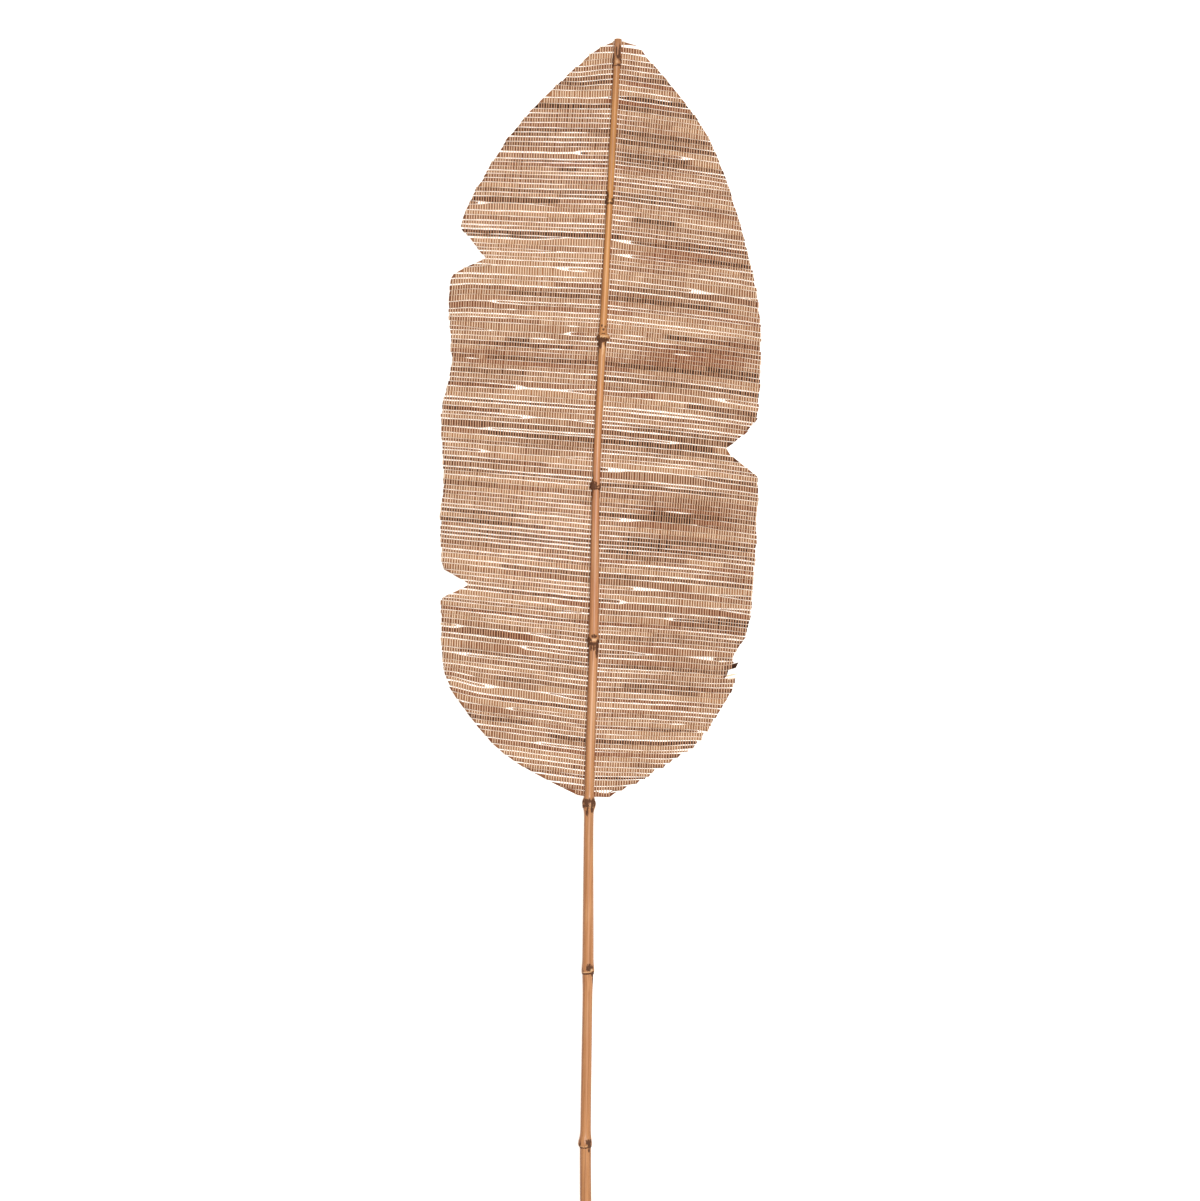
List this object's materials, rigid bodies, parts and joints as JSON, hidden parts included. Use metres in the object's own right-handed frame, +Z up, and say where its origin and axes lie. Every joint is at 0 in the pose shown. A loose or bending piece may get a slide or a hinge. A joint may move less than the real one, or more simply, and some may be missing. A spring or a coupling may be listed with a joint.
{
  "type": "woven water hyacinth leaf on a bamboo cane",
  "caption": "Large decorative leaf: a flat woven mat of dried water hyacinth strips cut to a notched leaf outline, on a bamboo cane that is both midrib and stem.",
  "frame": {"origin": "under the middle of the whole length and width, on the surface that the leaf lies on", "axes": "+Y along the cane towards the tip of the leaf, +X to the right seen from above, +Z up through the mat to the cane"},
  "size_m": [0.3977, 1.5, 0.0173],
  "materials": {
    "hyacinth_straw": "dry woven straw with cream cotton warp threads",
    "bamboo": "smooth satin natural bamboo skin with dark node scars",
    "glue": "set amber glue"
  },
  "bodies": {
    "root": {"woven_mat": "hyacinth_straw", "bamboo_cane": "bamboo", "glue_dab_1": "glue", "glue_dab_2": "glue", "glue_dab_3": "glue", "glue_dab_4": "glue", "glue_dab_5": "glue"}
  },
  "joints": []
}
